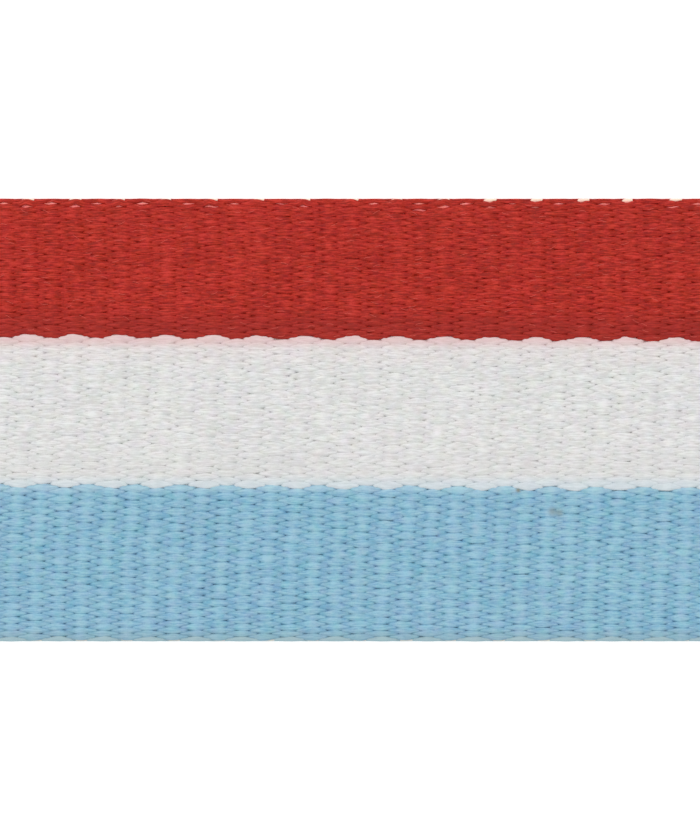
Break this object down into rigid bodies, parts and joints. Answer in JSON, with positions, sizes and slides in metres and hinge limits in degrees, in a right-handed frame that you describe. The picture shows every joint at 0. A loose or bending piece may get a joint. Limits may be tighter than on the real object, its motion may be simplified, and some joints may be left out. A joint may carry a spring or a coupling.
{
  "type": "medal ribbon",
  "caption": "Flat length of grosgrain medal ribbon in red, white and light blue stripes, for hanging a medal from its brooch or covering a ribbon bar.",
  "frame": {"origin": "middle of the ribbon's length and width, on the plane that its back lies on", "axes": "+X along the ribbon's length, +Y across its width towards the red edge, +Z out of its face"},
  "size_m": [0.0604, 0.032, 0.0007],
  "materials": {
    "red_yarn": "dyed red yarn, soft satin sheen",
    "white_yarn": "white yarn, soft satin sheen",
    "light_blue_yarn": "dyed light blue yarn, soft satin sheen",
    "weft_yarn": "undyed cream yarn, matte"
  },
  "bodies": {
    "root": {"blue_warp_ends_01": "light_blue_yarn", "blue_warp_ends_02": "light_blue_yarn", "blue_warp_ends_03": "light_blue_yarn", "blue_warp_ends_04": "light_blue_yarn", "blue_warp_ends_05": "light_blue_yarn", "blue_warp_ends_06": "light_blue_yarn", "blue_warp_ends_07": "light_blue_yarn", "blue_warp_ends_08": "light_blue_yarn", "blue_warp_ends_09": "light_blue_yarn", "blue_warp_ends_10": "light_blue_yarn", "blue_warp_ends_11": "light_blue_yarn", "blue_warp_ends_12": "light_blue_yarn", "blue_warp_ends_13": "light_blue_yarn", "blue_warp_ends_14": "light_blue_yarn", "white_warp_ends_01": "white_yarn", "white_warp_ends_02": "white_yarn", "white_warp_ends_03": "white_yarn", "white_warp_ends_04": "white_yarn", "white_warp_ends_05": "white_yarn", "white_warp_ends_06": "white_yarn", "white_warp_ends_07": "white_yarn", "white_warp_ends_08": "white_yarn", "white_warp_ends_09": "white_yarn", "white_warp_ends_10": "white_yarn", "white_warp_ends_11": "white_yarn", "white_warp_ends_12": "white_yarn", "white_warp_ends_13": "white_yarn", "white_warp_ends_14": "white_yarn", "red_warp_ends_01": "red_yarn", "red_warp_ends_02": "red_yarn", "red_warp_ends_03": "red_yarn", "red_warp_ends_04": "red_yarn", "red_warp_ends_05": "red_yarn", "red_warp_ends_06": "red_yarn", "red_warp_ends_07": "red_yarn", "red_warp_ends_08": "red_yarn", "red_warp_ends_09": "red_yarn", "red_warp_ends_10": "red_yarn", "red_warp_ends_11": "red_yarn", "red_warp_ends_12": "red_yarn", "red_warp_ends_13": "red_yarn", "red_warp_ends_14": "red_yarn", "weft_yarn": "weft_yarn"}
  },
  "joints": []
}
